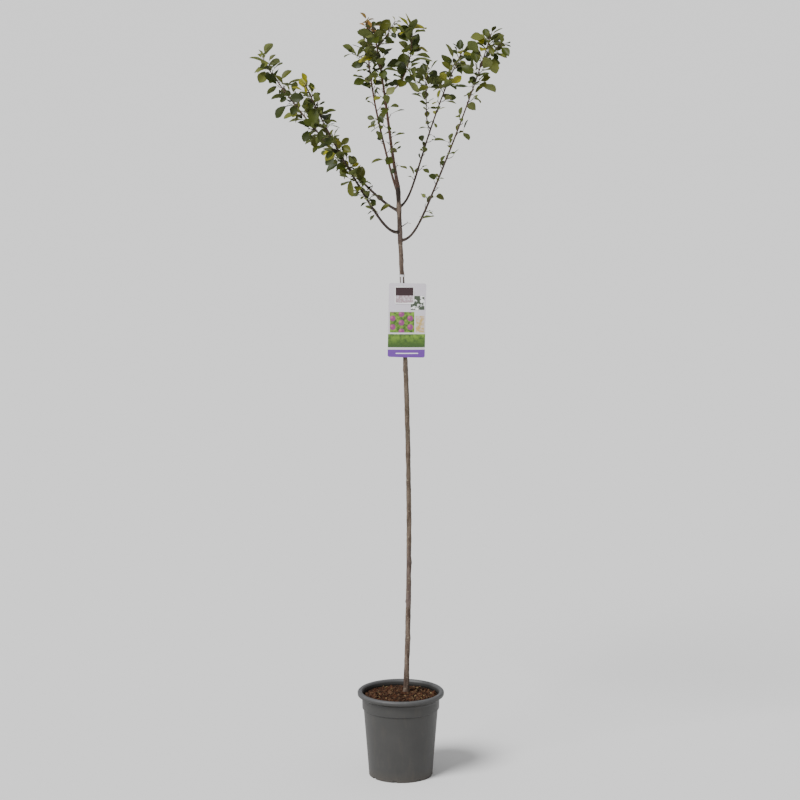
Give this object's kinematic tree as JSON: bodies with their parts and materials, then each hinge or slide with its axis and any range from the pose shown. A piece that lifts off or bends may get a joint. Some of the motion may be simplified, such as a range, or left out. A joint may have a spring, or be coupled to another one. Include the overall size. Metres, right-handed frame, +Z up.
{
  "type": "plum tree",
  "caption": "Young plum tree on a clear stem in a round nursery pot, with a leafy, upright summer crown and a blank hanging label.",
  "frame": {"origin": "centre of the pot's flat underside, at ground level", "axes": "+Z up along the stem, +X to the right and +Y away, seen from the front of the picture"},
  "size_m": [0.7661, 0.5504, 2.2975],
  "materials": {
    "grey_plastic": "satin, moulded",
    "bark_compost": "moist bark chips",
    "bark": "young bark, smooth with pores",
    "leaf": "slightly waxy leaves",
    "label_card": "printed card",
    "label_tag": "printed card"
  },
  "bodies": {
    "root": {"pot": "grey_plastic", "soil": "bark_compost", "trunk": "bark", "bough_left_low": "bark", "bough_left_high": "bark", "bough_leader_left": "bark", "bough_leader_right": "bark", "bough_right_inner": "bark", "bough_right_outer": "bark", "foliage_left_low": "leaf", "foliage_left_high": "leaf", "foliage_leader_left": "leaf", "foliage_leader_right": "leaf", "foliage_right_inner": "leaf", "foliage_right_outer": "leaf", "foliage_trunk_spur": "leaf", "hang_label": "label_card", "label_tag": "label_tag"}
  },
  "joints": []
}
